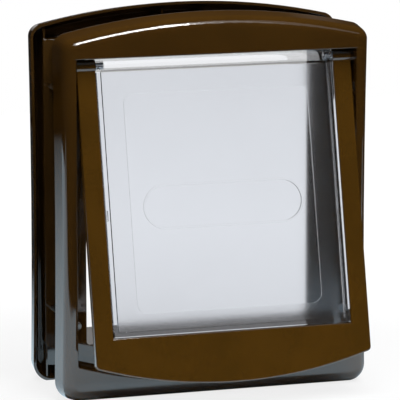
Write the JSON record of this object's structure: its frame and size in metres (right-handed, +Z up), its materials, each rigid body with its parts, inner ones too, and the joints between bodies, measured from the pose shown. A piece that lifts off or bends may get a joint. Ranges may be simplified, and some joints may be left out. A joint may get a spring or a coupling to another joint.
{
  "type": "pet door",
  "caption": "Brown moulded pet door: two hollow arched frames clamp a door leaf round a lined tunnel, closed by a U-shaped outer flap and a clear inner window on one hinge line.",
  "frame": {"origin": "middle of the front frame's foot, on the face that seats on the door leaf", "axes": "+X to the right seen from the flap side, +Y into the door leaf, +Z up"},
  "size_m": [0.2936, 0.1804, 0.3475],
  "materials": {
    "brown_moulding": "polished dark brown moulding",
    "clear_window": "clear moulding, finely frosted on the pane",
    "steel": "bright zinc plated",
    "magnet": "sintered ferrite",
    "pile": "short black pile",
    "pad": "matt black"
  },
  "bodies": {
    "frame": {"front_frame": "brown_moulding", "rear_frame": "brown_moulding", "left_pivot_pin": "steel", "right_pivot_pin": "steel", "left_pile_strip": "pile", "right_pile_strip": "pile", "sill_pile_strip": "pile", "left_stop_pad": "pad", "right_stop_pad": "pad", "sill_magnet": "magnet", "sleeve_nuts": "steel", "screw_washers": "steel", "frame_screws": "steel"},
    "surround": {"flap_surround": "brown_moulding", "surround_magnet": "magnet", "magnet_lid": "brown_moulding"},
    "window": {"flap_window": "clear_window"}
  },
  "joints": [
    {"name": "surround_hinge", "type": "hinge", "parent": "frame", "child": "surround", "pos_m": [0, -0.012, 0.3035], "axis": [-1, 0, 0], "range_deg": [-13, 72]},
    {"name": "window_hinge", "type": "hinge", "parent": "surround", "child": "window", "pos_m": [0, -0.012, 0.3035], "axis": [-1, 0, 0], "range_deg": [-75, 0]}
  ]
}
